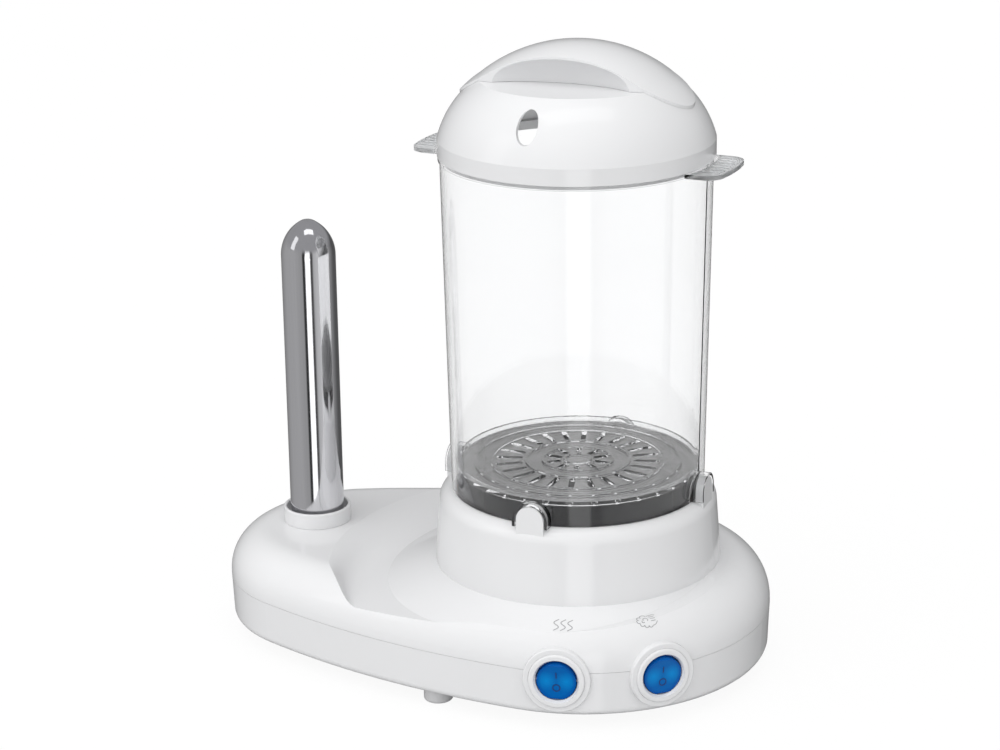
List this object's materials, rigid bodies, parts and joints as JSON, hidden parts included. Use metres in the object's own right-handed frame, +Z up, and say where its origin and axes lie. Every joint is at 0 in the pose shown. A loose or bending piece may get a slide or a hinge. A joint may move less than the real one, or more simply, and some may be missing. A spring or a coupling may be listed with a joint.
{
  "type": "hot dog toaster",
  "caption": "Egg-shaped white base with a clear lidded steaming vessel for sausages, a round steel toasting spike for rolls and round blue rocker switches.",
  "frame": {"origin": "on the table, under the middle of the whole object's width and depth", "axes": "+Z up, +X from the toasting spike towards the steam vessel, -Y towards the user, where the switches are"},
  "size_m": [0.316, 0.2144, 0.3495],
  "materials": {
    "gloss_white": "glossy white moulded plastic",
    "clear_plastic": "clear moulded plastic",
    "polished_steel": "polished stainless steel",
    "steel": "plain steel",
    "nonstick": "dark non-stick coating",
    "blue_plastic": "translucent blue plastic, lit from behind",
    "grey_rubber": "soft grey rubber",
    "red_silicone": "silicone seal",
    "heater_metal": "plain sheathed heater",
    "ceramic": "unglazed ceramic",
    "brass": "plain brass",
    "terminal_plastic": "heat-proof terminal plastic",
    "lead_brown": "brown wire insulation",
    "lead_blue": "blue wire insulation",
    "lamp_glass": "small neon lamp"
  },
  "bodies": {
    "base": {"upper_housing": "gloss_white", "lower_housing": "gloss_white", "spike_ring": "gloss_white", "spike": "polished_steel", "heating_dish": "nonstick", "housing_screws": "steel", "spike_screws": "steel", "dish_screws": "steel", "block_screws": "steel", "cord_clamp_screws": "steel", "dish_clamp_ring": "steel", "element_clamp": "steel", "clamp_nut": "steel", "foot_front": "grey_rubber", "foot_rear": "grey_rubber", "foot_tower_end": "grey_rubber", "foot_spike_end": "grey_rubber", "cord_bushing": "grey_rubber", "dish_seal": "red_silicone", "steam_element": "heater_metal", "spike_insulator": "ceramic", "spike_heater": "ceramic", "thermostat": "steel", "thermal_fuse": "ceramic", "terminal_block": "terminal_plastic", "cord_clamp": "terminal_plastic", "lead_heat_switch": "lead_brown", "lead_spike_live": "lead_brown", "lead_steam_switch": "lead_brown", "lead_spike_neutral": "lead_blue", "lead_steam_neutral": "lead_blue", "heat_switch_body": "gloss_white", "heat_rocker_pin": "steel", "heat_terminals": "brass", "heat_lamp": "lamp_glass", "steam_switch_body": "gloss_white", "steam_rocker_pin": "steel", "steam_terminals": "brass", "steam_lamp": "lamp_glass"},
    "tray": {"steam_tray": "clear_plastic"},
    "vessel": {"vessel": "clear_plastic"},
    "lid": {"lid_shell": "gloss_white", "lid_handle": "gloss_white", "lid_screws": "steel"},
    "heat_rocker": {"heat_rocker": "blue_plastic", "heat_plunger": "terminal_plastic"},
    "heat_blade": {"heat_contact_blade": "brass"},
    "steam_rocker": {"steam_rocker": "blue_plastic", "steam_plunger": "terminal_plastic"},
    "steam_blade": {"steam_contact_blade": "brass"}
  },
  "joints": [
    {"name": "lid_lift", "type": "slide", "parent": "vessel", "child": "lid", "axis": [0, 0, 1], "range_m": [0, 0.09]},
    {"name": "vessel_lift", "type": "slide", "parent": "base", "child": "vessel", "axis": [0, 0, 1], "range_m": [0, 0.06]},
    {"name": "tray_lift", "type": "slide", "parent": "base", "child": "tray", "axis": [0, 0, 1], "range_m": [0, 0.15]},
    {"name": "heat_rocker_press", "type": "hinge", "parent": "base", "child": "heat_rocker", "pos_m": [0.07494, -0.10024, 0.0294], "axis": [-0.9789, -0.2045, 0], "range_deg": [0, 14]},
    {"name": "heat_blade_tilt", "type": "hinge", "parent": "base", "child": "heat_blade", "pos_m": [0.07318, -0.09182, 0.0294], "axis": [0.9789, 0.2045, 0], "range_deg": [0, 10]},
    {"name": "steam_rocker_press", "type": "hinge", "parent": "base", "child": "steam_rocker", "pos_m": [0.12397, -0.07477, 0.0294], "axis": [-0.7302, -0.6833, 0], "range_deg": [0, 14]},
    {"name": "steam_blade_tilt", "type": "hinge", "parent": "base", "child": "steam_blade", "pos_m": [0.11809, -0.06849, 0.0294], "axis": [0.7302, 0.6833, 0], "range_deg": [0, 10]}
  ],
  "couplings": [
    {"joint": "heat_blade_tilt", "follows": "heat_rocker_press", "ratio": 0.71429},
    {"joint": "steam_blade_tilt", "follows": "steam_rocker_press", "ratio": 0.71429}
  ]
}
